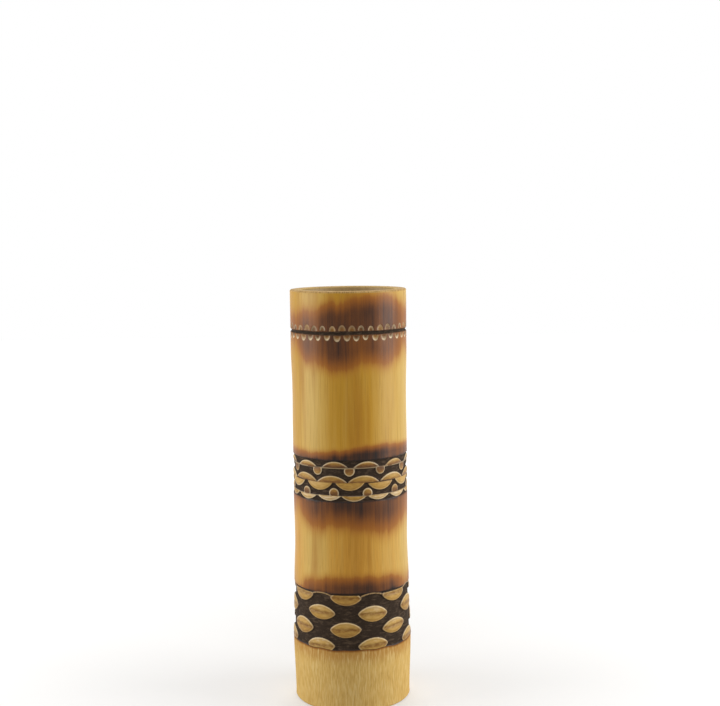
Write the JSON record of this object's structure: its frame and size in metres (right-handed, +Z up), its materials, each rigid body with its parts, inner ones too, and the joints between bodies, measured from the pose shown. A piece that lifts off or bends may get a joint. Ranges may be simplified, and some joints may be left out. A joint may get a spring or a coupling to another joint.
{
  "type": "cylindrical flower vase",
  "caption": "Tall cylindrical flower vase cut from a length of bamboo culm, with carved and charred bands, a closed foot and a lift-out water liner.",
  "frame": {"origin": "centre of the foot, on the surface that the vase stands on", "axes": "+Z up along the culm's axis, -Y towards the viewer of the picture, +X to the viewer's right"},
  "size_m": [0.0868, 0.0868, 0.3],
  "materials": {
    "culm": "carved bamboo, varnished over the skin, charred in the sunk ground, scraped at the foot",
    "base_disc": "sanded bamboo board",
    "glue_bead": "dried wood glue",
    "liner_tube": "extruded pipe",
    "liner_floor": "sheet, solvent cemented"
  },
  "bodies": {
    "vase": {"culm": "culm", "base_disc": "base_disc", "glue_bead": "glue_bead"},
    "liner": {"liner_tube": "liner_tube", "liner_floor": "liner_floor"}
  },
  "joints": [
    {"name": "liner_lift", "type": "slide", "parent": "vase", "child": "liner", "axis": [0, 0, 1], "range_m": [0, 0.3]}
  ]
}
